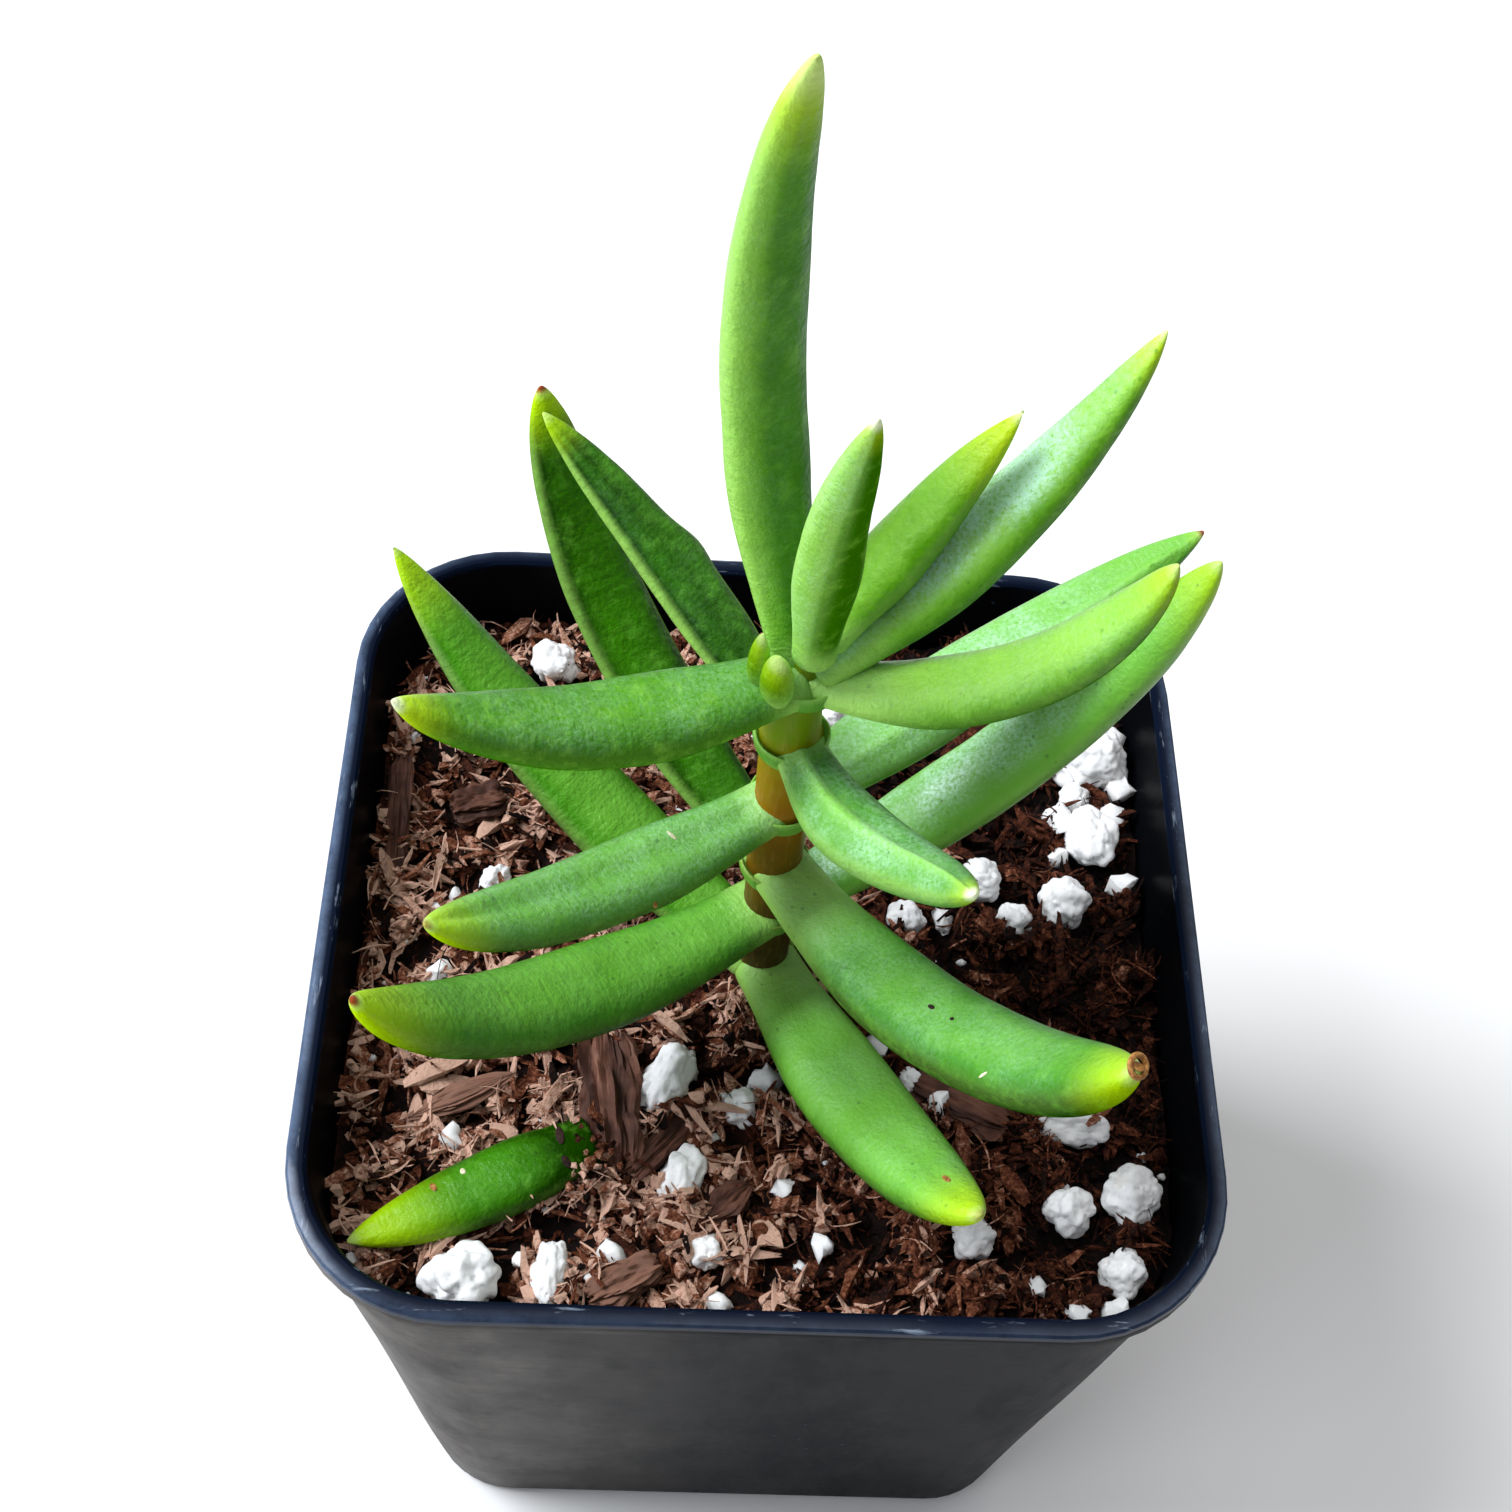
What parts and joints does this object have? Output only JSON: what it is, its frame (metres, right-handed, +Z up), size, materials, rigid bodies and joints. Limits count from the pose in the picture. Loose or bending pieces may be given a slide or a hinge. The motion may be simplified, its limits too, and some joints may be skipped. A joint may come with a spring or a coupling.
{
  "type": "potted succulent plant",
  "caption": "Young tree-like succulent with paired upcurved finger leaves on one stem, in a small square nursery pot of bark and perlite mix.",
  "frame": {"origin": "centre of the standing ring on the pot's underside", "axes": "+Z up; -Y is the front, towards the picture's viewer; +X to that viewer's right"},
  "size_m": [0.057, 0.057, 0.1218],
  "materials": {
    "pot": "thin moulded black plastic, matte with faint scuffs, satin at the lip",
    "soil": "damp brown peat and coir mix, rough and fibrous",
    "stem": "smooth young stem, orange-brown below and olive above, satin",
    "leaf": "fleshy mid-green with a thin pale bloom, satin",
    "young_leaf": "fleshy yellow-green with a soft sheen, satin",
    "bark": "red-brown bark chips, rough",
    "perlite": "white expanded mineral grains, chalky"
  },
  "bodies": {
    "root": {"pot": "pot", "soil": "soil", "stem": "stem", "leaf_1_front": "leaf", "leaf_1_back": "leaf", "leaf_2_left": "leaf", "leaf_2_right": "leaf", "leaf_3_front": "leaf", "leaf_3_back": "leaf", "leaf_4_left": "leaf", "leaf_4_right": "leaf", "leaf_5_front": "leaf", "leaf_5_back": "leaf", "leaf_6_left": "young_leaf", "leaf_6_right": "young_leaf", "leaf_7_right": "young_leaf", "leaf_7_back": "young_leaf", "leaf_8_front": "young_leaf", "leaf_8_right": "young_leaf", "leaf_9_tip": "young_leaf", "bud_left": "young_leaf", "bud_front": "young_leaf", "leaf_fallen": "leaf", "bark_1": "bark", "bark_2": "bark", "bark_3": "bark", "bark_4": "bark", "bark_5": "bark", "bark_6": "bark", "bark_7": "bark", "bark_8": "bark", "perlite_1": "perlite", "perlite_2": "perlite", "perlite_3": "perlite", "perlite_4": "perlite", "perlite_5": "perlite", "perlite_6": "perlite", "perlite_7": "perlite", "perlite_8": "perlite", "perlite_9": "perlite", "perlite_10": "perlite", "perlite_11": "perlite", "perlite_12": "perlite", "perlite_13": "perlite", "perlite_14": "perlite", "perlite_15": "perlite", "perlite_16": "perlite", "perlite_17": "perlite", "perlite_18": "perlite", "perlite_19": "perlite", "perlite_20": "perlite", "perlite_21": "perlite", "perlite_22": "perlite"}
  },
  "joints": []
}
